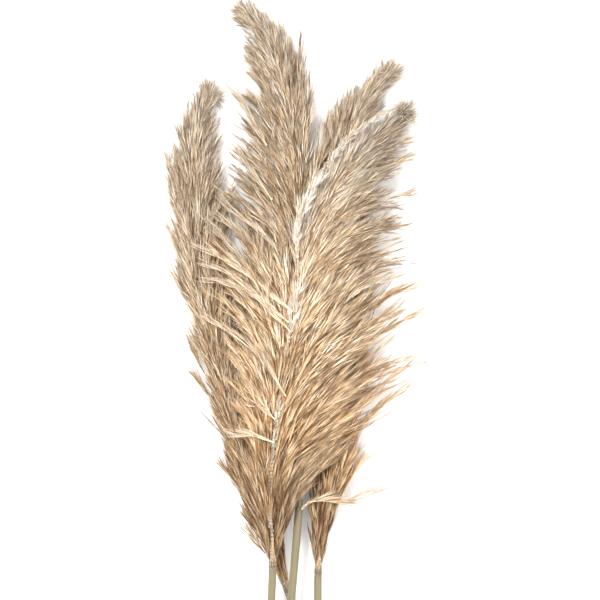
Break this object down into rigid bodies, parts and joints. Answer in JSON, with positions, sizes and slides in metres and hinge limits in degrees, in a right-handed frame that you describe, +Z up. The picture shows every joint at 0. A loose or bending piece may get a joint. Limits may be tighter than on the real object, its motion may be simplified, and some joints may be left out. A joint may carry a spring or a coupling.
{
  "type": "bundle of pampas grass",
  "caption": "Loose bundle of dried pampas grass: long feathery beige plumes on bare straw stems that cross low down, lying on a flat surface.",
  "frame": {"origin": "on the surface that the bundle lies on, under the middle of its bounding box", "axes": "+Y along the bundle from the cut stems to the tips, +Z up off the surface, +X to the right as seen from above with the tips away from the viewer"},
  "size_m": [0.3028, 1.0238, 0.0802],
  "materials": {
    "stem": "dry pale straw-green cane, satin, finely grooved along its length",
    "plume": "dry beige floss and florets, matt with a silky edge, warmer tan low down and greyer at the tip"
  },
  "bodies": {
    "root": {"stem_left": "stem", "stem_rear": "stem", "stem_tall": "stem", "stem_front": "stem", "plume_left": "plume", "plume_rear": "plume", "plume_tall": "plume", "plume_front": "plume"}
  },
  "joints": []
}
